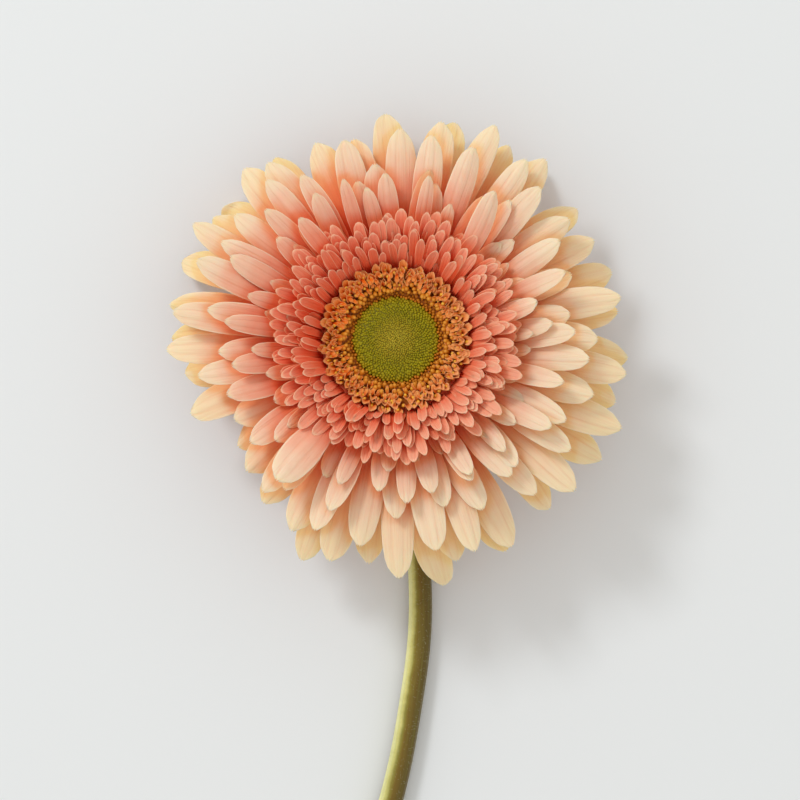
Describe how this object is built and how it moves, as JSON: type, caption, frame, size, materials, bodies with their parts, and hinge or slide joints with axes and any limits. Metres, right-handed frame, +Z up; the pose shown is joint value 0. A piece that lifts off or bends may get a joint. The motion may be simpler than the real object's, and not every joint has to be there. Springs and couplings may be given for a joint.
{
  "type": "cut gerbera",
  "caption": "Cut gerbera flower lying on a surface: a double head of spiral petals facing up, with a green bracted base and a bare stalk bent under it.",
  "frame": {"origin": "middle of the bounding box in plan, at the surface that the flower lies on", "axes": "+Z up, away from the surface and out of the flower's face; the stalk runs towards -Y"},
  "size_m": [0.1286, 0.4456, 0.0492],
  "materials": {
    "ray_florets": "soft matt petal, cream at the tips and salmon at the base",
    "trans_florets": "soft matt petal, coral with pale tips",
    "disc_florets": "matt orange tubes with pale curled rims",
    "green_buds": "matt yellow-green beads",
    "involucre": "downy green bracts",
    "scape": "downy olive-green stalk, paler where cut"
  },
  "bodies": {
    "root": {"ray_florets": "ray_florets", "trans_florets": "trans_florets", "disc_florets": "disc_florets", "green_buds": "green_buds", "involucre": "involucre", "scape": "scape"}
  },
  "joints": []
}
